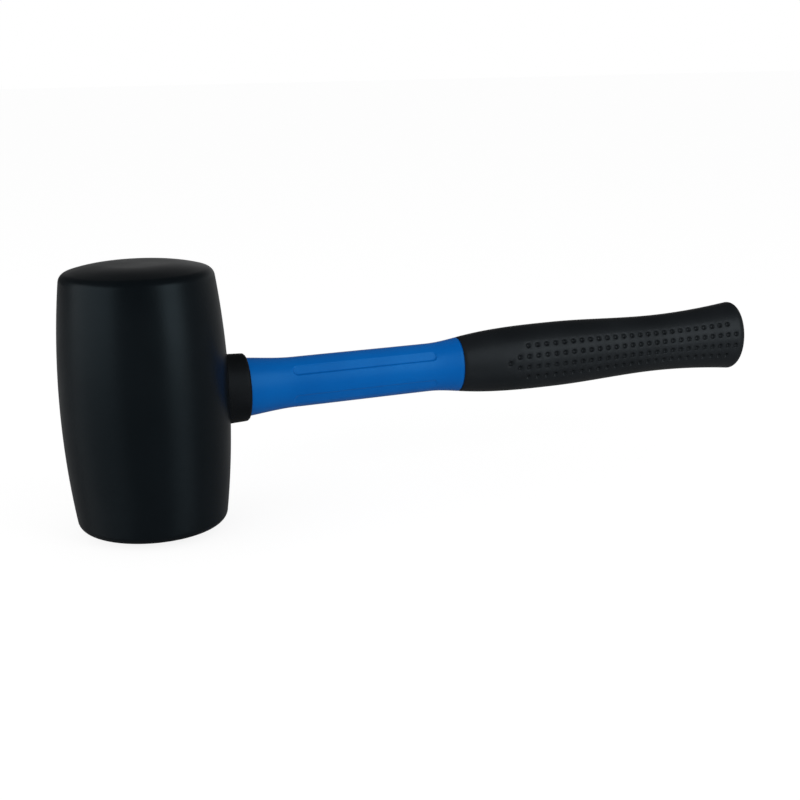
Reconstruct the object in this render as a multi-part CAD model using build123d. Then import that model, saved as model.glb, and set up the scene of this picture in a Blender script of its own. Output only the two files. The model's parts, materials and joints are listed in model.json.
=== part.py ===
from build123d import *
import os
from math import atan2, cos, radians, sin, sqrt

# Rubber mallet with a two-colour fibre-glass handle, in millimetres. It stands on its lower striking
# face: the origin is that face's centre, +Z runs up the head and +X along the handle to its butt.

# Head: a moulded barrel with two crowned striking faces
head_length = 121.0         # from the lower striking face to the upper one
girth_diameter = 74.8       # widest, at mid-height
face_diameter = 66.6        # where the barrel's side would meet a striking face
face_crown = 3.6            # how far a face falls away from its flat middle to its rim
flat_diameter = 24.0        # the flat middle of each face
rim_rounding = 4.5

# Handle: stations along X from the head's axis, with half heights from the handle's own axis
overall_length = 350.0      # from the far side of the head to the end of the butt
oval = 0.72                 # width of every section of the handle over its height
root_inset = 12.0           # the oval runs this far inside the head's girth before its saddle cut
shoulder_inset = 1.0        # it starts to narrow this far inside the head's girth
shoulder_half = 14.2
waist_start = 69.0
waist_start_half = 11.85
waist_end = 136.0
waist_end_half = 11.7
seam = 152.3                # the blue jacket ends here and the black grip begins
seam_half = 13.4
seam_slope = 0.16
swell = 205.0
swell_half = 16.3
dip = 261.0
dip_half = 14.6
butt_half = 18.1
butt_slope = 0.13
butt_rounding = 4.0
butt_crown = 0.8            # how far the end of the butt bulges

# Round tenon, bonded into a round blind eye in the head
eye_floor_wall = 19.0       # rubber left between the eye's floor and the far side of the head
bond_thickness = 0.6
tenon_tip_radius = 8.3
tenon_mouth_radius = 9.1
tenon_chamfer = 1.2
ring_count = 4              # grooves round the tenon, which the adhesive fills
ring_pitch = 10.0
first_ring = 11.0           # from the tenon's tip to the middle of the first ring
ring_width = 4.0
ring_depth = 0.9

# Core rod, and the flat-sided tang that the grip is moulded over
rod_diameter = 11.0
rod_chamfer = 0.6
rod_cover = 2.0             # jacket that closes the tenon over the rod's end
grip_thickness = 2.5        # over the tang's flats, at the seam
tang_flat = 4.4             # height of the tang's two flats
butt_wall = 12.0            # grip beyond the end of the tang
notch_count = 5             # notches across the tang, above and below, which the grip's moulding fills
notch_pitch = 26.0
first_notch = 18.0          # from the seam to the middle of the first notch
notch_width = 7.0
notch_depth = 1.2

# Collar that hides the mouth of the eye
collar_length = 8.9         # beyond the head's girth
collar_proud = 2.1          # how far its handle end stands out from the jacket
collar_draft = 0.4          # how much more it stands out at the head
collar_chamfer = 0.8

# Flat-floored flutes along the jacket's waist, two on each side
flute_start = 67.0
flute_end = 138.6
flute_width = 4.5
flute_depth = 0.62          # along its middle line
flute_height = 6.95         # its middle line above or below the handle's axis
flute_lean = 9.0            # degrees that its floor leans back towards the side's pull direction

girth_radius = girth_diameter / 2
face_radius = face_diameter / 2
flat_radius = flat_diameter / 2
handle_z = head_length / 2
root = girth_radius - root_inset
shoulder = girth_radius - shoulder_inset
collar_end = girth_radius + collar_length
tenon_tip = eye_floor_wall + bond_thickness - girth_radius
butt_end = overall_length - girth_radius
tang_end = butt_end - butt_wall
tang_radius = oval * seam_half - grip_thickness
tang_height = 2 * tang_radius + tang_flat

shoulder_station = (shoulder, shoulder_half, 0)
waist_start_station = (waist_start, waist_start_half, 0)
waist_end_station = (waist_end, waist_end_half, 0)
seam_station = (seam, seam_half, seam_slope)
swell_station = (swell, swell_half, 0)
dip_station = (dip, dip_half, 0)
butt_station = (butt_end - butt_crown, butt_half, butt_slope)
jacket_stations = [shoulder_station, waist_start_station, waist_end_station, seam_station]
grip_stations = [seam_station, swell_station, dip_station, butt_station]


def flowing_line(stations):
    """Cubic runs from station to station, each with its place along X, half height and slope."""
    runs = []
    for (x0, half0, slope0), (x1, half1, slope1) in zip(stations, stations[1:]):
        third = (x1 - x0) / 3
        inner0 = (x0 + third, half0 + slope0 * third)
        inner1 = (x1 - third, half1 - slope1 * third)
        runs.append(Bezier((x0, half0), inner0, inner1, (x1, half1)))
    return runs


def flowing_half(stations, x):
    """Half height of the same line at one place along X."""
    for (x0, half0, slope0), (x1, half1, slope1) in zip(stations, stations[1:]):
        if x <= x1:
            break
    run = x1 - x0
    t = (x - x0) / run
    value = (2 * t**3 - 3 * t**2 + 1) * half0 + (3 * t**2 - 2 * t**3) * half1
    return value + run * ((t**3 - 2 * t**2 + t) * slope0 + (t**3 - t**2) * slope1)


def turned_oval(section):
    """A half section turned about the handle's axis, then drawn in to the handle's oval."""
    round_form = Rot(90, 0, 0) * revolve(section, Axis.X)
    return Pos(0, 0, handle_z) * scale(round_form, by=(1, oval, 1))


def outline(*corners):
    return make_face(Polyline(*corners, close=True))


def turned_round(section):
    """A half section turned about the handle's axis."""
    return Pos(0, 0, handle_z) * Rot(90, 0, 0) * revolve(section, Axis.X)


def tenon_radius(x):
    """Radius of the tenon's straight taper at one place along X."""
    growth = (tenon_mouth_radius - tenon_tip_radius) / (girth_radius - tenon_tip)
    return tenon_tip_radius + growth * (x - tenon_tip)


def barrel():
    """The head's outer form: a shallow arc turned about Z, with crowned faces and rounded rims."""
    upper_rim, lower_rim = (face_radius, head_length - face_crown), (face_radius, face_crown)
    side = ThreePointArc(lower_rim, (girth_radius, handle_z), upper_rim)
    upper_crown = TangentArc((flat_radius, head_length), upper_rim, tangent=(1, 0))
    lower_crown = TangentArc((flat_radius, 0), lower_rim, tangent=(1, 0))
    flats = Polyline((flat_radius, head_length), (0, head_length), (0, 0), (flat_radius, 0))
    section = make_face([side, upper_crown, lower_crown, *flats.edges()])
    rims = section.vertices().group_by(Axis.X)[-1]
    return Rot(0, 0, 180) * revolve(Plane.XZ * fillet(rims, rim_rounding), Axis.Z)


def eye():
    """The tapered blind hole in the head: the tenon's taper with room for the adhesive."""
    floor = tenon_tip - bond_thickness
    beyond = girth_radius + rim_rounding
    return turned_round(outline(
        (floor, 0),
        (floor, tenon_radius(floor) + bond_thickness),
        (beyond, tenon_radius(beyond) + bond_thickness),
        (beyond, 0),
    ))


def tenon():
    """The tapered tenon, with sloping-walled grooves round it for the adhesive."""
    section = outline(
        (tenon_tip, 0),
        (tenon_tip, tenon_tip_radius - tenon_chamfer),
        (tenon_tip + tenon_chamfer, tenon_radius(tenon_tip + tenon_chamfer)),
        (girth_radius, tenon_radius(girth_radius)),
        (girth_radius, 0),
    )
    for i in range(ring_count):
        middle = tenon_tip + first_ring + i * ring_pitch
        start, end = middle - ring_width / 2, middle + ring_width / 2
        section -= outline(
            (start - ring_depth, tenon_radius(start) + ring_depth),
            (start + ring_depth, tenon_radius(start) - ring_depth),
            (end - ring_depth, tenon_radius(end) - ring_depth),
            (end + ring_depth, tenon_radius(end) + ring_depth),
        )
    return turned_round(section)


def tang():
    """The flat-sided stub under the grip, notched across its top and bottom edges."""
    start = Plane((seam, 0, handle_z), x_dir=(0, 0, 1), z_dir=(1, 0, 0))
    stub = extrude(start * SlotOverall(tang_height, 2 * tang_radius), tang_end - seam)
    for i in range(notch_count):
        for side in (-1, 1):
            place = Pos(seam + first_notch + i * notch_pitch, 0, handle_z + side * tang_height / 2)
            stub -= place * Box(notch_width, 2 * tang_radius, 2 * notch_depth)
    return stub


def jacket_section():
    """Half section of the jacket's own oval body, from inside the barrel to the seam."""
    ends = Polyline(
        (seam, seam_half),
        (seam, 0),
        (root, 0),
        (root, shoulder_half),
        (shoulder, shoulder_half),
    )
    return make_face([*flowing_line(jacket_stations), *ends.edges()])


def jacket_blank(body):
    """The blue over-moulding with no bore or flutes; its shoulder is saddle-cut to the barrel."""
    waist = turned_oval(jacket_section()) - body
    return waist + tenon() + tang()


def collar(body):
    """The drafted, chamfered ring round the jacket, saddle-cut to the barrel."""
    end_half = flowing_half(jacket_stations, collar_end) + collar_proud
    ring = outline(
        (root, 0),
        (root, end_half + collar_draft),
        (girth_radius, end_half + collar_draft),
        (collar_end - collar_chamfer, end_half),
        (collar_end, end_half - collar_chamfer),
        (collar_end, 0),
    )
    return turned_oval(ring) - body - turned_oval(jacket_section())


def grip():
    """The soft sleeve: palm swell, finger dip and a closed, rounded butt."""
    rim = butt_end - butt_crown
    crown = ThreePointArc(
        (rim, butt_half),
        (butt_end - butt_crown / 4, butt_half / 2),
        (butt_end, 0),
    )
    core = Polyline((butt_end, 0), (seam, 0), (seam, seam_half))
    section = make_face([*flowing_line(grip_stations), crown, *core.edges()])
    corner = section.vertices().sort_by_distance((rim, butt_half))[0]
    return turned_oval(fillet(corner, butt_rounding)) - tang()


def flutes():
    """Four long round-ended slots with flat floors, mirrored across the handle and about its axis."""
    middle = (flute_start + flute_end) / 2
    half = flowing_half(jacket_stations, middle)
    across = oval * half * sqrt(1 - (flute_height / half) ** 2)
    outward = Vector(0, -across / oval**2, flute_height).normalized()
    floor_middle = Vector(middle, -across, handle_z + flute_height) - outward * flute_depth
    lean = atan2(outward.Z, -outward.Y) - radians(flute_lean)
    floor = Plane(floor_middle, x_dir=(1, 0, 0), z_dir=(0, -cos(lean), sin(lean)))
    flute = extrude(floor * SlotOverall(flute_end - flute_start, flute_width), flute_width)
    pair = [flute, mirror(flute, Plane.XY.offset(handle_z))]
    return pair + [mirror(one, Plane.XZ) for one in pair]


def rod(chamfer_size=0.0):
    """The glass-fibre rod, or the bore for it where there is no chamfer."""
    start = tenon_tip + rod_cover
    solid = Pos(start, 0, handle_z) * Rot(0, 90, 0) * Cylinder(
        rod_diameter / 2, tang_end - start, align=(Align.CENTER, Align.CENTER, Align.MIN))
    if chamfer_size:
        solid = chamfer(solid.edges().filter_by(GeomType.CIRCLE), chamfer_size)
    return solid


def main():
    body = barrel()
    pieces = {
        "head": body - eye(),
        "collar": collar(body),
        "handle_jacket": jacket_blank(body) - rod() - flutes(),
        "core_rod": rod(rod_chamfer),
        "grip": grip(),
        "epoxy_bond": (eye() & body) - tenon(),
    }
    os.makedirs("parts", exist_ok=True)
    for node, shape in pieces.items():
        export_step(shape, f"parts/{node}.step")


main()
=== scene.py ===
import json
from math import atan2, cos, pi, radians, sin, sqrt
import bmesh
import bpy
import numpy as np
from mathutils import Matrix, Vector

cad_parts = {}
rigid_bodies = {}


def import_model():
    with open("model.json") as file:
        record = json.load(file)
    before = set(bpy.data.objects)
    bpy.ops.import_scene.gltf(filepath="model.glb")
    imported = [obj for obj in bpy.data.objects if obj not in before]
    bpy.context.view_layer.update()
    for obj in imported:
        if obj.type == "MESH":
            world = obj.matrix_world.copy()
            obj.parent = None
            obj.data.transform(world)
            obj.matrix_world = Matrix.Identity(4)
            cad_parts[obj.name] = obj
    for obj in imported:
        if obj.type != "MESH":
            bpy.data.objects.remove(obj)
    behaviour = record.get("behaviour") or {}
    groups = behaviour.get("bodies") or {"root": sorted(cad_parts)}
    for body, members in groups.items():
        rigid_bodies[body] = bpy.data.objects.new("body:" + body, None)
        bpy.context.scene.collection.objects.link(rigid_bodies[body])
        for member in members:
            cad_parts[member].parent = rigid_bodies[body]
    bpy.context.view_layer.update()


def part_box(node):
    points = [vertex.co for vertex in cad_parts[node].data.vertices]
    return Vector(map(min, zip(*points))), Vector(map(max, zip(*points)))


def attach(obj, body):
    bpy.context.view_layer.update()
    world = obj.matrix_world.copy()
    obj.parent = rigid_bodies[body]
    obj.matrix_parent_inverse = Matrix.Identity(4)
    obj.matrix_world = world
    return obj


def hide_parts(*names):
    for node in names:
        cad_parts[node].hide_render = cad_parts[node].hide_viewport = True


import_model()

# Rubber mallet standing on its lower face. Lengths in the dictionaries are millimetres, on the
# frame's own axes: origin at the middle of the lower face, X along the handle, Z up the head.
mm = 0.001
weldDistance = 0.004        # points this close together become one
slopeStep = 0.05            # half the stretch over which a line's slope is measured


def nodeSpan(node):
    # Lowest and highest corner of one node of the frame: p / mm.
    low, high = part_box(node)
    return np.array(low) / mm, np.array(high) / mm


headHigh = nodeSpan("head")[1]
jacketLow, jacketHigh = nodeSpan("handle_jacket")
gripLow, gripHigh = nodeSpan("grip")
headLength = headHigh[2]
girthRadius = headHigh[1]
handleZ = headLength / 2
eyeFloorX = nodeSpan("epoxy_bond")[0][0]
tenonTip, tangEnd = jacketLow[0], jacketHigh[0]
collarEnd = nodeSpan("collar")[1][0]
seamX, buttX = gripLow[0], gripHigh[0]
print("frame read: head", headLength, "long, grip from", seamX, "to", buttX)

handleForm = {
    "oval": 0.72,               # width over height of every section of the handle
    "shoulder": (girthRadius - 1, 14.2, 0.0),   # stations: place along X, half height, slope
    "waistStart": (69.0, 11.85, 0.0),
    "waistEnd": (136.0, 11.7, 0.0),
    "seam": (seamX, 13.4, 0.16),
    "swell": (205.0, 16.3, 0.0),
    "dip": (261.0, 14.6, 0.0),
    "butt": (buttX - 0.8, 18.1, 0.13),
    "seamTurns": (22.5, 45, 67.5, 90),          # degrees of the lines round an edge at the seam
}
oval = handleForm["oval"]
shoulderHalf = handleForm["shoulder"][1]
seamHalf = handleForm["seam"][1]
buttHalf = handleForm["butt"][1]
seamTurns = np.radians(handleForm["seamTurns"])[:, None]
jacketStations = np.array([handleForm[name] for name in ("shoulder", "waistStart", "waistEnd", "seam")])
gripStations = np.array([handleForm[name] for name in ("seam", "swell", "dip", "butt")])


def flowingHalf(stations, x):
    # Cubic from station to station:
    # h = (2t^3-3t^2+1) h0 + (3t^2-2t^3) h1 + run ((t^3-2t^2+t) s0 + (t^3-t^2) s1).
    x = np.asarray(x, float)
    run = np.clip(np.searchsorted(stations[:, 0], x, side="right") - 1, 0, len(stations) - 2)
    x0, h0, s0 = (stations[run, k] for k in range(3))
    x1, h1, s1 = (stations[run + 1, k] for k in range(3))
    t = np.clip((x - x0) / (x1 - x0), 0, 1)
    value = (2 * t**3 - 3 * t**2 + 1) * h0 + (3 * t**2 - 2 * t**3) * h1
    return value + (x1 - x0) * ((t**3 - 2 * t**2 + t) * s0 + (t**3 - t**2) * s1)


def pointsAt(x, y, z):
    # Three coordinates, spread to one shape, as points (x, y, z).
    return np.stack(np.broadcast_arrays(x, y, z), axis=-1)


def sectionRing(x, half, turn, width=oval):
    # Points round the handle: (x, -width half cos(turn), half sin(turn)), turn 0 on the near side.
    return pointsAt(x, -width * half * np.cos(turn), handleZ + half * np.sin(turn))


def arcPoints(centre, radius, turn):
    # Points of an arc in its own plane: centre + radius (cos(turn), sin(turn)).
    return np.stack([centre[0] + radius * np.cos(turn), centre[1] + radius * np.sin(turn)], axis=-1)


def evenShares(count):
    # Shares 1/n, 2/n ... 1 of a stretch, as a column.
    return np.linspace(0, 1, count + 1)[1:, None]


def gridFaces(rows, columns, closedAlong=False):
    # Quads (i, j), (i, j+1), (i+1, j+1), (i+1, j) of a grid of points that closes round its columns.
    i, j = np.meshgrid(np.arange(rows if closedAlong else rows - 1), np.arange(columns), indexing="ij")
    below, right = (i + 1) % rows, (j + 1) % columns
    corners = [i * columns + j, i * columns + right, below * columns + right, below * columns + j]
    return np.stack(corners, axis=-1).reshape(-1, 4)


def makePiece(name, patches, material, node, sharpAngle=40):
    # Joins grids of points and their quads, each quad's numbers raised by the count of points before it,
    # welds the shared borders and poles, and smooths all but sharp edges.
    points, faces, count = [], [], 0
    for grid, quads in patches:
        grid = grid.reshape(-1, 3)
        points.append(grid)
        faces.append(quads + count)
        count += len(grid)
    mesh = bpy.data.meshes.new(name)
    mesh.from_pydata((np.vstack(points) * mm).tolist(), [], np.vstack(faces).tolist())
    shape = bmesh.new()
    shape.from_mesh(mesh)
    bmesh.ops.remove_doubles(shape, verts=shape.verts, dist=weldDistance * mm)
    bmesh.ops.recalc_face_normals(shape, faces=shape.faces)
    loose = sum(1 for edge in shape.edges if len(edge.link_faces) != 2)
    shape.to_mesh(mesh)
    shape.free()
    mesh.polygons.foreach_set("use_smooth", np.ones(len(mesh.polygons), bool))
    mesh.set_sharp_from_angle(angle=radians(sharpAngle))
    mesh.materials.append(material)
    piece = bpy.data.objects.new(name, mesh)
    bpy.context.scene.collection.objects.link(piece)
    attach(piece, "root")
    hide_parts(node)
    print("made", name, len(mesh.polygons), "faces,", loose, "open edges")


def addNode(tree, kind, links=(), **values):
    # One node; links are (input name or number, output socket), values are inputs or settings by name.
    node = tree.nodes.new(kind)
    for key, value in values.items():
        if key in node.inputs:
            node.inputs[key].default_value = value
        else:
            setattr(node, key, value)
    for target, source in links:
        tree.links.new(source, node.inputs[target])
    return node


def noiseOf(tree, place, scale, detail):
    # Height of a soft noise at place x scale, between 0 and 1.
    noise = addNode(tree, "ShaderNodeTexNoise", [("Vector", place)], Scale=scale, Detail=detail)
    return noise.outputs["Fac"]


def rampOf(tree, source, fromSpan, toSpan, blend="LINEAR"):
    # to0 + (to1 - to0) s, with s the source's share of the way from from0 to from1, held at its ends.
    ramp = addNode(tree, "ShaderNodeMapRange", [("Value", source)], interpolation_type=blend)
    for key, value in zip(("From Min", "From Max", "To Min", "To Max"), (*fromSpan, *toSpan)):
        ramp.inputs[key].default_value = value
    return ramp.outputs["Result"]


grainForm = {
    "toneDetail": 3.0,          # layers of each noise
    "patchDetail": 4.0,
    "grainDetail": 2.0,
    "toneSpan": (0.35, 0.65),   # the slow noise's span, from the dark tone to the light one
    "patchSpan": (0.3, 0.7),    # the patches' span, from the lowest roughness to the highest
}


def mouldedMaterial(name, look):
    # Colour = dark (1 - s) + light s with s from a slow noise, roughness from a second noise, and a fine
    # moulded grain as bump.
    material = bpy.data.materials.new(name)
    material.use_nodes = True
    tree = material.node_tree
    tree.nodes.clear()
    place = addNode(tree, "ShaderNodeTexCoord").outputs["Object"]
    slow = noiseOf(tree, place, look["toneScale"], grainForm["toneDetail"])
    tones = addNode(tree, "ShaderNodeMix", data_type="RGBA")
    tones.inputs[6].default_value = (*look["darkTone"], 1)
    tones.inputs[7].default_value = (*look["lightTone"], 1)
    tree.links.new(rampOf(tree, slow, grainForm["toneSpan"], (0, 1)), tones.inputs[0])
    patches = noiseOf(tree, place, look["patchScale"], grainForm["patchDetail"])
    rough = rampOf(tree, patches, grainForm["patchSpan"], look["roughness"])
    grain = noiseOf(tree, place, look["grainScale"], grainForm["grainDetail"])
    bump = addNode(tree, "ShaderNodeBump", [("Height", grain)],
                   Strength=look["grainStrength"], Distance=look["grainDepth"] * mm)
    shader = addNode(tree, "ShaderNodeBsdfPrincipled", [
        ("Base Color", tones.outputs[2]),
        ("Roughness", rough),
        ("Normal", bump.outputs["Normal"]),
    ])
    shader.inputs["Specular IOR Level"].default_value = look["specular"]
    shader.inputs["Specular Tint"].default_value = (*look["sheen"], 1)
    addNode(tree, "ShaderNodeOutputMaterial", [("Surface", shader.outputs["BSDF"])])
    return material


# Scales are per metre, grainDepth is millimetres, and sheen is the tint of what a finish reflects.
blackRubber = mouldedMaterial("satinBlackRubber", {
    "darkTone": (0.0026, 0.0039, 0.0052), "lightTone": (0.0040, 0.0057, 0.0073), "toneScale": 22,
    "roughness": (0.31, 0.37), "patchScale": 60, "sheen": (0.66, 0.88, 1.0),
    "grainScale": 1400, "grainStrength": 0.25, "grainDepth": 0.06, "specular": 0.15,
})
collarRubber = mouldedMaterial("collarRubber", {
    "darkTone": (0.0036, 0.0042, 0.0050), "lightTone": (0.0060, 0.0068, 0.0078), "toneScale": 60,
    "roughness": (0.42, 0.50), "patchScale": 120, "sheen": (0.78, 0.90, 1.0),
    "grainScale": 1600, "grainStrength": 0.25, "grainDepth": 0.05, "specular": 0.13,
})
bluePlastic = mouldedMaterial("satinBluePlastic", {
    "darkTone": (0.0001, 0.098, 0.394), "lightTone": (0.0002, 0.112, 0.430), "toneScale": 35,
    "roughness": (0.31, 0.37), "patchScale": 90, "sheen": (0.18, 0.62, 1.0),
    "grainScale": 1800, "grainStrength": 0.15, "grainDepth": 0.04, "specular": 0.32,
})
gripRubber = mouldedMaterial("softGripRubber", {
    "darkTone": (0.0060, 0.0074, 0.0090), "lightTone": (0.0085, 0.0102, 0.0122), "toneScale": 30,
    "roughness": (0.40, 0.48), "patchScale": 80, "sheen": (0.82, 0.93, 1.0),
    "grainScale": 1500, "grainStrength": 0.30, "grainDepth": 0.06, "specular": 0.21,
})
glassFibre = mouldedMaterial("drawnGlassFibre", {
    "darkTone": (0.50, 0.46, 0.26), "lightTone": (0.66, 0.62, 0.40), "toneScale": 120,
    "roughness": (0.45, 0.60), "patchScale": 150, "sheen": (1, 1, 1),
    "grainScale": 900, "grainStrength": 0.3, "grainDepth": 0.08, "specular": 0.5,
})
curedAdhesive = mouldedMaterial("curedAdhesive", {
    "darkTone": (0.40, 0.30, 0.14), "lightTone": (0.55, 0.44, 0.24), "toneScale": 80,
    "roughness": (0.30, 0.45), "patchScale": 120, "sheen": (1, 1, 1),
    "grainScale": 600, "grainStrength": 0.2, "grainDepth": 0.05, "specular": 0.5,
})
print("finishes made")

headForm = {
    "faceDiameter": 66.6,       # where the side would meet a striking face
    "flatDiameter": 24.0,       # the flat middle of a crowned striking face
    "faceCrown": 3.6,           # how far the rim lies behind that flat
    "rimRounding": 4.5,
    "rimSteps": 30,             # rounds that settle the middle of the rim's arc
    "columns": 240,             # lines round the barrel
    "sideLines": 88,
    "rimLines": 14,
    "faceLines": 22,
    "flatLines": (0.66, 0.33, 0),   # shares of the flat's radius at which it has lines
    "eyeBlock": (15, 12),       # columns and lines to each side of the eye that give way to its mouth
    "eyeMouth": 9.7,            # radii of the eye
    "eyeFloorRadius": 8.89,
    "eyeLines": (6, 8, 3),      # round its mouth, down its wall and over its floor
}
faceRadius = headForm["faceDiameter"] / 2
rimHeight = handleZ - headForm["faceCrown"]     # from mid-height to where face and side would meet
arcRise = girthRadius - faceRadius
arcRadius = (rimHeight**2 + arcRise**2) / (2 * arcRise)
arcCentre = girthRadius - arcRadius     # the side is an arc of that radius round (arcCentre, handleZ)


def barrelRadius(z):
    # r = centre + sqrt(R^2 - (z - middle)^2): the shallow arc of the barrel's side.
    return arcCentre + np.sqrt(arcRadius**2 - (np.asarray(z) - handleZ) ** 2)


def onBarrel(y, z):
    # x = sqrt(r(z)^2 - y^2): the place of the barrel's side in front of a point of its section.
    return np.sqrt(barrelRadius(z) ** 2 - y**2)


def barrelProfile():
    # Radius and height from the middle of the lower face round both rims to the middle of the upper
    # one. Side, rim and crown are arcs that touch: the rim's centre lies R - r from each one's centre.
    rounding, crown = headForm["rimRounding"], headForm["faceCrown"]
    flatRadius = headForm["flatDiameter"] / 2
    crownRadius = ((faceRadius - flatRadius) ** 2 + crown**2) / (2 * crown)
    crownZ = headLength - crownRadius
    rimR, rimZ = faceRadius - rounding, headLength - rounding
    for _ in range(headForm["rimSteps"]):
        rimR = arcCentre + sqrt((arcRadius - rounding) ** 2 - (rimZ - handleZ) ** 2)
        rimZ = crownZ + sqrt((crownRadius - rounding) ** 2 - (rimR - flatRadius) ** 2)
    slant = atan2(rimZ - handleZ, rimR - arcCentre)
    lean = atan2(rimZ - crownZ, rimR - flatRadius)
    rim = arcPoints((rimR, rimZ), rounding, np.linspace(slant, lean, headForm["rimLines"] + 1))
    sideTurn = np.linspace(-slant, slant, headForm["sideLines"] + 1)[1:-1]
    side = arcPoints((arcCentre, handleZ), arcRadius, sideTurn)
    crownTurn = np.linspace(lean, pi / 2, headForm["faceLines"] + 1)[1:]
    bulge = arcPoints((flatRadius, crownZ), crownRadius, crownTurn)
    flatLines = np.array(headForm["flatLines"])
    flat = np.stack([flatRadius * flatLines, np.full(len(flatLines), headLength)], axis=-1)
    upper = np.vstack([rim, bulge, flat])
    lower = upper[::-1] * (1, -1) + (0, headLength)
    return np.vstack([lower, side, upper])


def eyeSocket(border):
    # Rings p = p0 (1 - s) + p1 s: from the block's border over the barrel's side to the round mouth,
    # down the tapered wall, and in to the middle of the floor.
    turn = np.arctan2(border[:, 2] - handleZ, border[:, 1])
    mouthLines, wallLines, floorLines = headForm["eyeLines"]
    mouth, bottom = headForm["eyeMouth"], headForm["eyeFloorRadius"]
    mouthY, mouthZ = mouth * np.cos(turn), handleZ + mouth * np.sin(turn)
    bottomY, bottomZ = bottom * np.cos(turn), handleZ + bottom * np.sin(turn)
    share = evenShares(mouthLines)
    patchY = border[:, 1] * (1 - share) + mouthY * share
    patchZ = border[:, 2] * (1 - share) + mouthZ * share
    patch = pointsAt(onBarrel(patchY, patchZ), patchY, patchZ)
    share = evenShares(wallLines)
    wall = pointsAt(
        patch[-1, :, 0] * (1 - share) + eyeFloorX * share,
        mouthY * (1 - share) + bottomY * share,
        mouthZ * (1 - share) + bottomZ * share,
    )
    inward = 1 - evenShares(floorLines)
    floor = pointsAt(eyeFloorX, bottomY * inward, handleZ + (bottomZ - handleZ) * inward)
    return np.concatenate([border[None], patch, wall, floor])


def makeHead():
    # The profile (r, z) turned about Z: (r cos(a), r sin(a), z). Round the eye a block of its quads
    # gives way to the socket, whose first ring is the block's border, walked once round.
    profile = barrelProfile()
    rows, columns = len(profile), headForm["columns"]
    angle = 2 * pi * np.arange(columns) / columns
    grid = pointsAt(profile[:, :1] * np.cos(angle), profile[:, :1] * np.sin(angle), profile[:, 1:])
    middle = (rows - 1) // 2
    across, upward = headForm["eyeBlock"]
    quads = gridFaces(rows, columns)
    row, column = np.divmod(quads[:, 0], columns)
    offset = (column + columns // 2) % columns - columns // 2
    inBlock = (row >= middle - upward) & (row < middle + upward)
    inBlock &= (offset >= -across) & (offset < across)
    side, up = np.arange(-across, across), np.arange(-upward, upward)
    sideEnd, upEnd = np.full(len(up), across), np.full(len(side), upward)
    borderColumn = np.concatenate([side, sideEnd, -side, -sideEnd])
    borderRow = np.concatenate([-upEnd, up, upEnd, -up])
    socket = eyeSocket(grid[middle + borderRow, borderColumn % columns])
    patches = [(grid, quads[~inBlock]), (socket, gridFaces(*socket.shape[:2]))]
    makePiece("headBarrel", patches, blackRubber, "head")


makeHead()

collarForm = {
    "proud": 2.1,               # stands out from the jacket at its handle end
    "draft": 0.4,               # how much more at the head
    "outerLines": 6,
    "outerReach": 0.75,         # share of the way from the barrel to the end that they cover
    "rim": ((1.1, -0.02), (0.9, 0.02), (0.65, 0.22),    # a 0.8 chamfer with softened edges: places
            (0.15, 0.66), (0.0375, 0.9), (0, 1.1)),     # before the end, and below its half height
    "innerLines": 4,
    "columns": 192,
    "sharpAngle": 50,           # degrees between faces past which an edge stays sharp
}


def makeCollar():
    # A closed profile of (share of the way from the barrel, places before the end, half height), carried
    # round the oval: x = barrel (1 - share) + end share - places. Half height -1 means the jacket's own.
    bore = flowingHalf(jacketStations, collarEnd)
    endHalf = bore + collarForm["proud"]
    outer = [(share, 0, endHalf + collarForm["draft"] * (1 - share))
             for share in np.linspace(0, collarForm["outerReach"], collarForm["outerLines"])]
    rim = [(1, back, endHalf - drop) for back, drop in collarForm["rim"]]
    inner = [(share, 0, -1) for share in np.linspace(1, 0, collarForm["innerLines"] + 1)[1:]]
    profile = np.array([*outer, *rim, (1, 0, bore), *inner])
    turn = 2 * pi * np.arange(collarForm["columns"]) / collarForm["columns"]
    share, back, half = (profile[:, k:k + 1] for k in range(3))
    straightX = girthRadius + (collarEnd - girthRadius) * share
    rootHalf = np.where(half < 0, flowingHalf(jacketStations, straightX), half)
    rootX = onBarrel(oval * rootHalf * np.cos(turn), handleZ + rootHalf * np.sin(turn))
    x = rootX + (collarEnd - rootX) * share - back
    grid = sectionRing(x, np.where(half < 0, flowingHalf(jacketStations, x), rootHalf), turn)
    patches = [(grid, gridFaces(len(profile), len(turn), closedAlong=True))]
    makePiece("handleCollar", patches, collarRubber, "collar",
              sharpAngle=collarForm["sharpAngle"])


makeCollar()

jacketForm = {
    "tenonTip": (8.3, 1.2),     # radius and chamfer
    "tenonMouth": 9.1,          # radius where it leaves the barrel
    "tenonInset": 6.0,          # its last line runs this far inside the girth
    "rings": (4, 10.0, 11.0, 4.0, 0.9),     # grooves: count, pitch, first from the tip, width, depth
    "bore": (5.5, 2.0),         # radius of the rod's bore, and the jacket left beyond its end
    "boreLines": 12,
    "shoulderLines": 5,
    "seamRounding": 0.3,
    "seamGroove": (0.55, 0.65),     # width and depth of the witness line between jacket and grip
    "fluteStart": 67.0,
    "fluteEnd": 138.6,
    "fluteWidth": 4.5,
    "fluteHeight": 6.95,        # its middle line above or below the handle's axis
    "fluteDepth": 0.62,         # from the surface to its flat floor, along the middle line
    "fluteLean": 9.0,           # degrees that its floor leans back towards the side's pull direction
    "fluteWall": (-0.25, 0.60),     # how far in from its outline the wall starts and ends its fall
    "lowerFlute": 0.35,         # depth of the lower flutes, as a share of the upper ones'
    "turnStops": ((0, 0), (20, 6), (29, 14), (44, 12), (54, 14), (90, 9)),  # degrees, spaces before it
    "firstLine": 38.5,          # of the waist, along X
    "tipSpan": (0.5, 3.5),      # lines stand close from before a flute's tip to after it
    "lineGaps": (0.2, 1.0, 0.5),    # from those lines to the next: before, along and past the flutes
    "waistLines": (20, 22, 44, 22, 9),      # lines over each stretch from the shoulder to the seam
}
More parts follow.
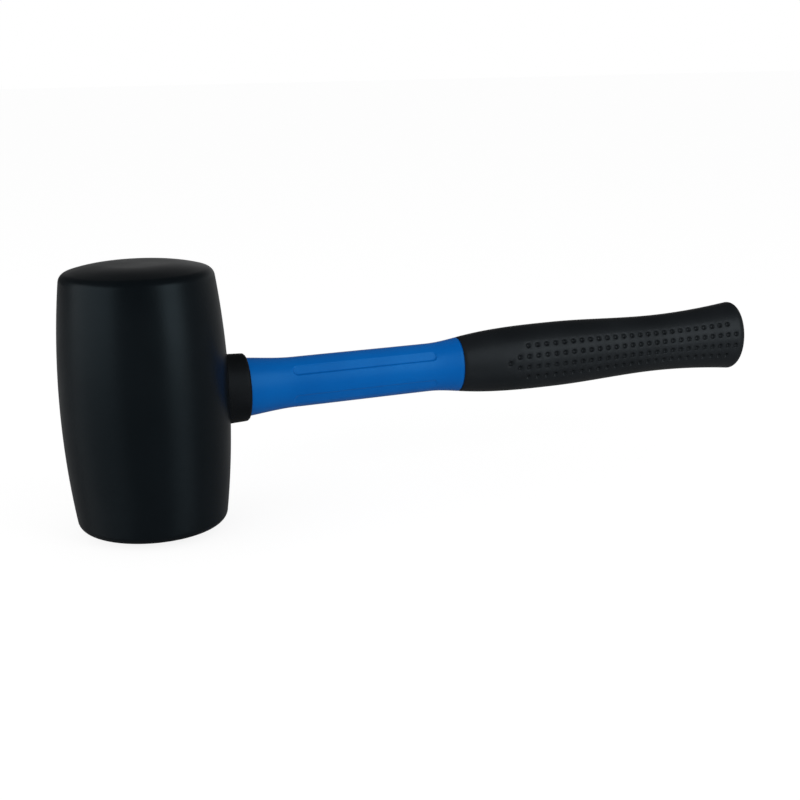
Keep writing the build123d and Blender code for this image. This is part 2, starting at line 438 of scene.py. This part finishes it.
tangForm = {
    "cover": 2.5,               # grip over the tang's flat sides, at the seam
    "flat": 4.4,                # height of those sides
    "notches": (5, 26.0, 18.0, 7.0, 1.2),   # count, pitch, first from the seam, width, depth
    "flatTurn": 0.22,           # share of a turn's sine over which the flat side is passed
}
tangRadius = oval * seamHalf - tangForm["cover"]


def tangRings(turn):
    # Rings of the tang from the seam to its end: a circle parted by its flats, z = r sin(turn) + flat / 2
    # above the axis and - flat / 2 below it, held to the tang's height and to less of it in each notch.
    count, pitch, first, width, depth = tangForm["notches"]
    middles = seamX + first + pitch * np.arange(count)
    steps = middles[:, None] + np.array([-width, -width, width, width]) / 2
    x = np.concatenate([[seamX], steps.ravel(), [tangEnd]])[:, None]
    inNotch = np.concatenate([[0], np.tile([0, 1, 1, 0], count), [0]])[:, None]
    limit = tangRadius + tangForm["flat"] / 2 - depth * inNotch
    rise = np.clip(np.sin(turn) / tangForm["flatTurn"], -1, 1) * tangForm["flat"] / 2
    z = np.clip(tangRadius * np.sin(turn) + rise, -limit, limit)
    return pointsAt(x, -tangRadius * np.cos(turn), handleZ + z)


def ovalNormal(x, turn, stations):
    # Outward direction of the handle's side: (-h', -cos(turn) / oval, sin(turn)), made one long.
    rise = flowingHalf(stations, x + slopeStep) - flowingHalf(stations, x - slopeStep)
    slope = rise / (2 * slopeStep)
    normal = pointsAt(-slope, -np.cos(turn) / oval, np.sin(turn))
    return normal / np.linalg.norm(normal, axis=-1, keepdims=True)


def fluted(points):
    # Flat floors with round ends. Inside the outline a point falls to the floor's plane, along the
    # floor's own direction, by the share s s (3 - 2s) of its height above it, s growing inwards over the
    # wall. Every flute is the near upper one, mirrored, and the lower ones are shallower.
    start, end, width = (jacketForm[key] for key in ("fluteStart", "fluteEnd", "fluteWidth"))
    middle = np.array([(start + end) / 2])
    half = flowingHalf(jacketStations, middle)
    turn = np.arcsin(jacketForm["fluteHeight"] / half)
    out = ovalNormal(middle, turn, jacketStations)[0]
    lean = atan2(out[2], -out[1]) - radians(jacketForm["fluteLean"])
    floorOut, across = np.array([0, -cos(lean), sin(lean)]), np.array([0, sin(lean), cos(lean)])
    origin = sectionRing(middle, half, turn)[0] - out * jacketForm["fluteDepth"]
    x, y, z = (points[..., k] for k in range(3))
    near, above = y < 0, z > handleZ
    folded = pointsAt(x, -np.abs(y), handleZ + np.abs(z - handleZ))
    reach = np.maximum(np.abs(x - middle) - (end - start - width) / 2, 0)
    inside = width / 2 - np.hypot(reach, (folded - origin) @ across)
    rise = (folded - origin) @ floorOut
    wallStart, wallEnd = jacketForm["fluteWall"]
    share = np.clip((inside - wallStart) / (wallEnd - wallStart), 0, 1)
    drop = np.where(rise > 0, rise * share * share * (3 - 2 * share), 0)
    drop = np.where(above, drop, drop * jacketForm["lowerFlute"])
    folded -= drop[..., None] * floorOut
    y = np.where(near, folded[..., 1], -folded[..., 1])
    z = np.where(above, folded[..., 2], 2 * handleZ - folded[..., 2])
    return pointsAt(folded[..., 0], y, z)


def quarterTurns(stops):
    # Turns of the lines over a quarter of the handle, even from stop to stop, mirrored to the others.
    quarter = [np.array([0.0])]
    for (start, _), (end, spaces) in zip(stops, stops[1:]):
        quarter.append(np.linspace(start, end, spaces + 1)[1:])
    quarter = np.radians(np.concatenate(quarter))
    half = np.concatenate([quarter, (pi - quarter[::-1])[1:]])
    return np.concatenate([half, (half + pi)[1:-1]])


def tenonRings(turn):
    # From the middle of the tip out along the taper r = tip + grow (x - tip), less its grooves.
    tipRadius, tipChamfer = jacketForm["tenonTip"]
    grow = (jacketForm["tenonMouth"] - tipRadius) / (girthRadius - tenonTip)
    count, pitch, first, width, depth = jacketForm["rings"]
    starts = tenonTip + first - width / 2 + pitch * np.arange(count)
    grooveX = starts[:, None] + np.array([0, depth, width - depth, width])
    tip = [tenonTip, tenonTip, tenonTip + tipChamfer]
    x = np.concatenate([tip, grooveX.ravel(), [girthRadius - jacketForm["tenonInset"]]])
    radius = tipRadius + grow * (x - tenonTip)
    radius[len(tip):-1] -= np.tile([0, depth, depth, 0], count)
    radius[:2] = 0, tipRadius - tipChamfer
    return sectionRing(x[:, None], radius[:, None], turn, width=1)


def shoulderRings(turn):
    # On the barrel's side from the tenon out to the oval: half = mouth (1 - s) + shoulder s.
    share = np.linspace(0, 1, jacketForm["shoulderLines"] + 1)[:, None]
    half = jacketForm["tenonMouth"] * (1 - share) + shoulderHalf * share
    wide = jacketForm["tenonMouth"] * (1 - share) + oval * shoulderHalf * share
    y, z = -wide * np.cos(turn), handleZ + half * np.sin(turn)
    return pointsAt(onBarrel(y, z), y, z)


def waistPlaces(end):
    # Places of the lines along the waist, close together over the flutes' round ends.
    tip, tail = jacketForm["fluteStart"], jacketForm["fluteEnd"]
    before, after = jacketForm["tipSpan"]
    gapBefore, gapAlong, gapPast = jacketForm["lineGaps"]
    stretches = [
        (jacketForm["firstLine"], tip - before - gapBefore),
        (tip - before, tip + after),
        (tip + after + gapAlong, tail - after - gapAlong),
        (tail - after, tail + before),
        (tail + before + gapPast, end),
    ]
    lines = [np.linspace(*ends, count) for ends, count in zip(stretches, jacketForm["waistLines"])]
    return np.concatenate(lines)[:, None]


def makeJacket():
    # One skin of rings: tenon, shoulder, fluted waist, the rounded edge x = edge - r (1 - sin(a)) with
    # half = side - r (1 - cos(a)), the groove at the seam, the tang, and the bore back to its end.
    turn = quarterTurns(jacketForm["turnStops"])
    rounding = jacketForm["seamRounding"]
    grooveWidth, grooveDepth = jacketForm["seamGroove"]
    edgeX = seamX - grooveWidth
    x = waistPlaces(edgeX - rounding)
    waist = fluted(sectionRing(x, flowingHalf(jacketStations, x), turn))
    x = edgeX - rounding * (1 - np.sin(seamTurns))
    edge = sectionRing(x, flowingHalf(jacketStations, x) - rounding * (1 - np.cos(seamTurns)), turn)
    groove = sectionRing(np.array([[edgeX], [seamX]]), seamHalf - grooveDepth, turn)
    boreRadius, cover = jacketForm["bore"]
    boreLines, boreEnd = jacketForm["boreLines"], tenonTip + cover
    x = np.append(np.linspace(tangEnd, boreEnd, boreLines), boreEnd)[:, None]
    radius = np.append(np.full(boreLines, boreRadius), 0)[:, None]
    bore = sectionRing(x, radius, turn, width=1)
    grid = np.concatenate([
        tenonRings(turn), shoulderRings(turn), waist, edge, groove, tangRings(turn), bore])
    patches = [(grid, gridFaces(len(grid), len(turn)))]
    makePiece("flutedJacket", patches, bluePlastic, "handle_jacket")


makeJacket()

gripForm = {
    "buttRounding": 4.0,
    "crown": 0.8,               # how far the end of the butt bulges
    "seamRounding": 0.2,
    "sidePoints": 4000,         # points at which the profile's side is worked out
    "arcPoints": 60,            # and those of the rim and the crown
    "rimSearch": 12.0,          # the rim's rounding starts within this length of the butt's end
    "dimplePitch": 5.04,        # along the handle, at the first dimple of the inner rows
    "pitchLoss": 0.0176,        # from each dimple to the next
    "rowTurn": 19.6,            # degrees from row to row
    "firstDimple": 181.0,
    "dimples": 27,              # in each of the two inner rows; the outer rows lack their first and last
    "innerRows": (1.5, 2.5),    # middles of the rows, in squares round from the first line
    "outerRows": (0.5, 3.5),
    "tipRow": 2.0,
    "cellSpaces": 12,           # grid spaces across a dimple's square
    "ringRadii": (0, 0.38, 0.66, 1.00, 1.28, 1.48),     # rings of points from a dimple's middle
    "ringDepths": (0.92, 0.92, 0.85, 0.46, 0.07, 0.0),
    "endSpaces": 14,            # grid spaces from the dimples to the seam and to the crown
    "crownSpaces": 8,
    "crownDepth": 0.5,          # the crown's spaces start this far before the butt's end
    "backSpaces": 20,           # grid spaces over the plain top and bottom
}


def gripProfile():
    # Place, half height and running length: the flowing side, the rounded rim, and the crown to the
    # middle. The rim's centre lies r inside the side, where it is R - r from the crown's centre.
    rounding, crown = gripForm["buttRounding"], gripForm["crown"]
    crownRadius = (buttHalf**2 + crown**2) / (2 * crown)
    crownX = buttX - crownRadius
    x = np.linspace(seamX, gripStations[-1, 0], gripForm["sidePoints"])
    half = flowingHalf(gripStations, x)
    tilt = np.arctan(np.gradient(half, x))
    centreX, centreHalf = x + rounding * np.sin(tilt), half - rounding * np.cos(tilt)
    reach = np.hypot(centreX - crownX, centreHalf)
    late = x > buttX - gripForm["rimSearch"]
    tangentX = np.interp(crownRadius - rounding, reach[late], x[late])
    rimX, rimHalf, lean = (np.interp(tangentX, x, values) for values in (centreX, centreHalf, tilt))
    meeting, count = atan2(rimHalf, rimX - crownX), gripForm["arcPoints"]
    rim = arcPoints((rimX, rimHalf), rounding, np.linspace(pi / 2 + lean, meeting, count))
    bulge = arcPoints((crownX, 0), crownRadius, np.linspace(meeting, 0, count)[1:])
    side = np.stack([x, half], axis=-1)[x < tangentX]
    lineX, lineHalf = np.vstack([side, rim, bulge]).T
    length = seamX + np.append(0, np.cumsum(np.hypot(np.diff(lineX), np.diff(lineHalf))))
    return lineX, lineHalf, length


def dimpleLines(lineX, length):
    # Lines along the grip: plain start, one square for the tip dimple, the rows' squares at
    # first + pitch n - loss n^2 / 2, the rounded butt, and the crown.
    cells, dimples = gripForm["cellSpaces"], gripForm["dimples"]
    number = np.arange(-1.5 * cells, (dimples - 0.5) * cells + 1) / cells
    pitch, loss = gripForm["dimplePitch"], gripForm["pitchLoss"]
    field = gripForm["firstDimple"] + pitch * number - loss * number**2 / 2
    crownStart = length[np.argmin(np.abs(lineX - (buttX - gripForm["crownDepth"])))]
    spaces = gripForm["endSpaces"] + 1
    start = np.linspace(seamX + gripForm["seamRounding"], field[0], spaces)[:-1]
    end = np.linspace(field[-1], crownStart, spaces)[1:]
    crown = np.linspace(crownStart, length[-1], gripForm["crownSpaces"] + 1)[1:]
    return np.concatenate([start, field, end, crown])


def dimpleTurns():
    # Lines round the grip: four squares to each side's field, then the plain back.
    edge = 2 * radians(gripForm["rowTurn"])
    field = np.linspace(-edge, edge, 4 * gripForm["cellSpaces"] + 1)
    plain = np.linspace(edge, pi - edge, gripForm["backSpaces"] + 1)[1:-1]
    return np.concatenate([field, plain, field + pi, plain + pi])


def dimpleMiddles(roundCount):
    # Line numbers of the dimples' middles, n cells + cells / 2 along and row x cells round: two inner
    # rows, two outer rows and the tip, then the same on the other side of the handle.
    cells, dimples = gripForm["cellSpaces"], gripForm["dimples"]
    inner, outer = np.arange(1, dimples + 1), np.arange(2, dimples)
    number = np.concatenate([inner, inner, outer, outer, [0]])
    middleAlong = number * cells + cells // 2 + gripForm["endSpaces"]
    rows = [*gripForm["innerRows"], *gripForm["outerRows"], gripForm["tipRow"]]
    row = np.repeat(rows, [len(inner), len(inner), len(outer), len(outer), 1])
    middleRound = (row * cells).astype(int)
    return np.tile(middleAlong, 2), np.append(middleRound, middleRound + roundCount // 2)


def dimpleRings():
    # Square rings of points round a middle move on to circles, (r cos(a), r sin(a)) with a running over
    # each side of the square as its own share of 45 degrees. The last ring stays on the square.
    reach = gripForm["cellSpaces"] // 2
    step = np.arange(-reach, reach + 1)
    stepAlong, stepRound = np.meshgrid(step, step, indexing="ij")
    ring = np.maximum(np.abs(stepAlong), np.abs(stepRound))
    inside = ring < reach
    stepAlong, stepRound, ring = stepAlong[inside], stepRound[inside], ring[inside]
    wide = np.abs(stepAlong) >= np.abs(stepRound)
    lead = np.where(wide, stepAlong, stepRound)
    follow = np.where(wide, stepRound, stepAlong)
    sweep = pi / 4 * follow / np.where(lead == 0, 1, lead)
    radius = np.sign(lead) * np.array(gripForm["ringRadii"])[ring]
    leadPart, followPart = radius * np.cos(sweep), radius * np.sin(sweep)
    moveAlong = np.where(wide, leadPart, followPart)
    moveRound = np.where(wide, followPart, leadPart)
    return stepAlong, stepRound, moveAlong, moveRound, np.array(gripForm["ringDepths"])[ring]


def makeGrip():
    # The profile carried round the oval, each point at (length, turn). A dimple's points move by
    # (along, round / h |(oval sin(turn), cos(turn))|) and sink along the side's outward direction.
    lineX, lineHalf, length = gripProfile()
    along, turn = dimpleLines(lineX, length), dimpleTurns()
    place, turnHere = (np.array(values) for values in np.meshgrid(along, turn, indexing="ij"))
    depth = np.zeros_like(place)
    middleAlong, middleRound = (middles[:, None] for middles in dimpleMiddles(len(turn)))
    stepAlong, stepRound, moveAlong, moveRound, ringDepth = dimpleRings()
    middlePlace, middleTurn = along[middleAlong], turn[middleRound]
    half = np.interp(middlePlace, length, lineHalf)
    perRadian = half * np.sqrt((oval * np.sin(middleTurn)) ** 2 + np.cos(middleTurn) ** 2)
    dimple = (middleAlong + stepAlong, middleRound + stepRound)
    place[dimple] = middlePlace + moveAlong
    turnHere[dimple] = middleTurn + moveRound / perRadian
    depth[dimple] = ringDepth
    x, half = np.interp(place, length, lineX), np.interp(place, length, lineHalf)
    ahead, behind = place + slopeStep, place - slopeStep
    dx = np.interp(ahead, length, lineX) - np.interp(behind, length, lineX)
    dh = np.interp(ahead, length, lineHalf) - np.interp(behind, length, lineHalf)
    normal = pointsAt(-dh, -dx * np.cos(turnHere) / oval, dx * np.sin(turnHere))
    normal /= np.maximum(np.linalg.norm(normal, axis=-1, keepdims=True), 1e-9)
    outside = sectionRing(x, half, turnHere) - normal * depth[..., None]
    # The skin closes over the tang's end, runs back along its sides and turns out round the seam's edge.
    rounding, over = gripForm["seamRounding"], seamTurns[::-1]
    seamEdge = sectionRing(
        seamX + rounding * (1 - np.sin(over)), seamHalf - rounding * (1 - np.cos(over)), turn)
    closing = sectionRing(np.full((1, 1), tangEnd), 0.0, turn)
    grid = np.concatenate([closing, tangRings(turn)[::-1], seamEdge, outside])
    patches = [(grid, gridFaces(len(grid), len(turn)))]
    makePiece("dimpledGrip", patches, gripRubber, "grip")


makeGrip()

hiddenForm = {"core_rod": glassFibre, "epoxy_bond": curedAdhesive}      # CAD pieces that keep their mesh
for shown in bpy.context.scene.objects:
    nodeName = shown.name.split(".")[0]
    if shown.type == "MESH" and nodeName in hiddenForm:
        shown.data.materials.clear()
        shown.data.materials.append(hiddenForm[nodeName])
print("pieces finished")

stageForm = {
    "floorSize": 60.0,          # metres
    "floorTone": 0.68,
    "floorGlow": (0.70, 1.240), # share of what the camera sees of it that is plain white, and its level
    "floorPolish": (0.58, 0.4, 0.1),    # what gloss sees of it: share of mirror, its tone and roughness
    "roomLevel": (0.95, 0.40),  # plain light all round: at the horizon and overhead
    "darkReflection": 0.06,     # what gloss sees of the room
    "sweepReflection": 0.42,    # and of the white sweep behind the object
    "sweepAzimuth": 128,
    "sweepHeight": (0.0, 0.60),     # sines of the elevations over which the sweep fades out
    "sweepWidth": (0.4, 0.9),       # cosines from its middle over which it fades in
    "lampAim": (0.08, 0, 0.06),     # metres; the place that the panels face
}
lampForm = {
    # name: (azimuth, elevation, distance in metres, width, height, radiance)
    "leftPanel": (-81, 14, 1.2, 1.60, 0.9, 1.6),
    "rightPanel": (34, 14, 1.2, 0.60, 0.9, 3.2),
}
cameraForm = {
    "azimuth": -21.232,         # degrees; 0 looks along +Y
    "elevation": 14.317,
    "roll": 1.203,
    "lens": 57.903,             # for a square frame on this sensor
    "sensor": 36,
    "distance": 0.621,          # metres
    "target": (0.121866, 0.0, 0.04582),
}


def directionTo(azimuth, elevation):
    # Unit vector from the object to a place: (sin a cos e, -cos a cos e, sin e).
    a, e = radians(azimuth), radians(elevation)
    return Vector((sin(a) * cos(e), -cos(a) * cos(e), sin(e)))


def mathOf(tree, operation, first, second):
    # One step of arithmetic on a socket and a second socket or a number.
    node = addNode(tree, "ShaderNodeMath", [(0, first)], operation=operation)
    if isinstance(second, float):
        node.inputs[1].default_value = second
    else:
        tree.links.new(second, node.inputs[1])
    return node.outputs[0]


def makeFloor():
    # A square of corners (+-h, +-h, 0). The camera sees matt (1 - share) + plain white share, and gloss
    # sees that with a share of a dull mirror.
    half = stageForm["floorSize"] / 2
    mesh = bpy.data.meshes.new("floor")
    corners = [(-half, -half, 0), (half, -half, 0), (half, half, 0), (-half, half, 0)]
    mesh.from_pydata(corners, [], [(0, 1, 2, 3)])
    material = bpy.data.materials.new("paleFloor")
    material.use_nodes = True
    tree = material.node_tree
    tree.nodes.clear()
    tone = stageForm["floorTone"]
    glowShare, glowLevel = stageForm["floorGlow"]
    polishShare, polishTone, polishRoughness = stageForm["floorPolish"]
    rays = addNode(tree, "ShaderNodeLightPath").outputs
    matt = addNode(tree, "ShaderNodeBsdfDiffuse", Color=(tone, tone, tone, 1))
    glow = addNode(tree, "ShaderNodeEmission", Strength=glowLevel)
    mirror = addNode(tree, "ShaderNodeBsdfGlossy", Color=(polishTone, polishTone, polishTone, 1),
                     Roughness=polishRoughness)
    seen = mathOf(tree, "MULTIPLY", rays["Is Camera Ray"], glowShare)
    polish = mathOf(tree, "MULTIPLY", rays["Is Glossy Ray"], polishShare)
    bright = addNode(tree, "ShaderNodeMixShader", [
        (0, seen), (1, matt.outputs[0]), (2, glow.outputs[0])])
    both = addNode(tree, "ShaderNodeMixShader", [
        (0, polish), (1, bright.outputs[0]), (2, mirror.outputs[0])])
    addNode(tree, "ShaderNodeOutputMaterial", [("Surface", both.outputs[0])])
    mesh.materials.append(material)
    floor = bpy.data.objects.new("floor", mesh)
    bpy.context.scene.collection.objects.link(floor)


def makeBackdrop():
    # Plain light that is lower overhead, a white sweep for gloss and glass behind the object, fading as
    # width(cos) x height(sin) + dark, and white for the camera.
    world = bpy.data.worlds.new("studio")
    bpy.context.scene.world = world
    world.use_nodes = True
    tree = world.node_tree
    tree.nodes.clear()
    toward = addNode(tree, "ShaderNodeTexCoord").outputs["Generated"]
    height = addNode(tree, "ShaderNodeSeparateXYZ", [(0, toward)]).outputs["Z"]
    room = rampOf(tree, height, (0, 1), stageForm["roomLevel"], "SMOOTHSTEP")
    side = addNode(tree, "ShaderNodeVectorMath", [(0, toward)], operation="DOT_PRODUCT")
    side.inputs[1].default_value = directionTo(stageForm["sweepAzimuth"], 0)
    low = rampOf(tree, height, stageForm["sweepHeight"], (1, 0), "SMOOTHSTEP")
    behind = rampOf(tree, side.outputs["Value"], stageForm["sweepWidth"],
                    (0, stageForm["sweepReflection"]), "SMOOTHSTEP")
    sweep = mathOf(tree, "ADD", mathOf(tree, "MULTIPLY", low, behind), stageForm["darkReflection"])
    rays = addNode(tree, "ShaderNodeLightPath").outputs
    clear = mathOf(tree, "MAXIMUM", rays["Is Glossy Ray"], rays["Is Transmission Ray"])
    seenByGloss = addNode(tree, "ShaderNodeMix", [(0, clear), (2, room), (3, sweep)])
    level = addNode(tree, "ShaderNodeMix", [(0, rays["Is Camera Ray"]), (2, seenByGloss.outputs[0])])
    level.inputs[3].default_value = 1.0
    light = addNode(tree, "ShaderNodeBackground", [("Strength", level.outputs[0])], Color=(1, 1, 1, 1))
    addNode(tree, "ShaderNodeOutputWorld", [("Surface", light.outputs[0])])


def makeLamps():
    # Soft panels that face the object from aim + direction x distance; watts = radiance pi width height.
    for name, (azimuth, elevation, distance, width, height, radiance) in lampForm.items():
        lamp = bpy.data.lights.new(name, "AREA")
        lamp.shape = "RECTANGLE"
        lamp.size, lamp.size_y = width, height
        lamp.energy = radiance * pi * width * height
        holder = bpy.data.objects.new(name, lamp)
        direction = directionTo(azimuth, elevation)
        holder.location = Vector(stageForm["lampAim"]) + direction * distance
        holder.rotation_euler = direction.to_track_quat("Z", "Y").to_euler()
        bpy.context.scene.collection.objects.link(holder)


def makeCamera():
    # It stands at target + direction x distance and looks back, its right and up turned by the roll:
    # right cos(r) - up sin(r), right sin(r) + up cos(r).
    back = directionTo(cameraForm["azimuth"], cameraForm["elevation"])
    right = (-back).cross(Vector((0, 0, 1))).normalized()
    up = right.cross(-back)
    roll = radians(cameraForm["roll"])
    tiltedRight = right * cos(roll) - up * sin(roll)
    tiltedUp = right * sin(roll) + up * cos(roll)
    camera = bpy.data.cameras.new("camera")
    camera.lens, camera.sensor_width = cameraForm["lens"], cameraForm["sensor"]
    holder = bpy.data.objects.new("camera", camera)
    place = Vector(cameraForm["target"]) + back * cameraForm["distance"]
    turned = Matrix((tiltedRight, tiltedUp, back)).transposed().to_4x4()
    holder.matrix_world = Matrix.Translation(place) @ turned
    bpy.context.scene.collection.objects.link(holder)
    bpy.context.scene.camera = holder


makeFloor()
makeBackdrop()
makeLamps()
makeCamera()
bpy.context.scene.view_settings.view_transform = "Standard"
print("floor, light and camera set")
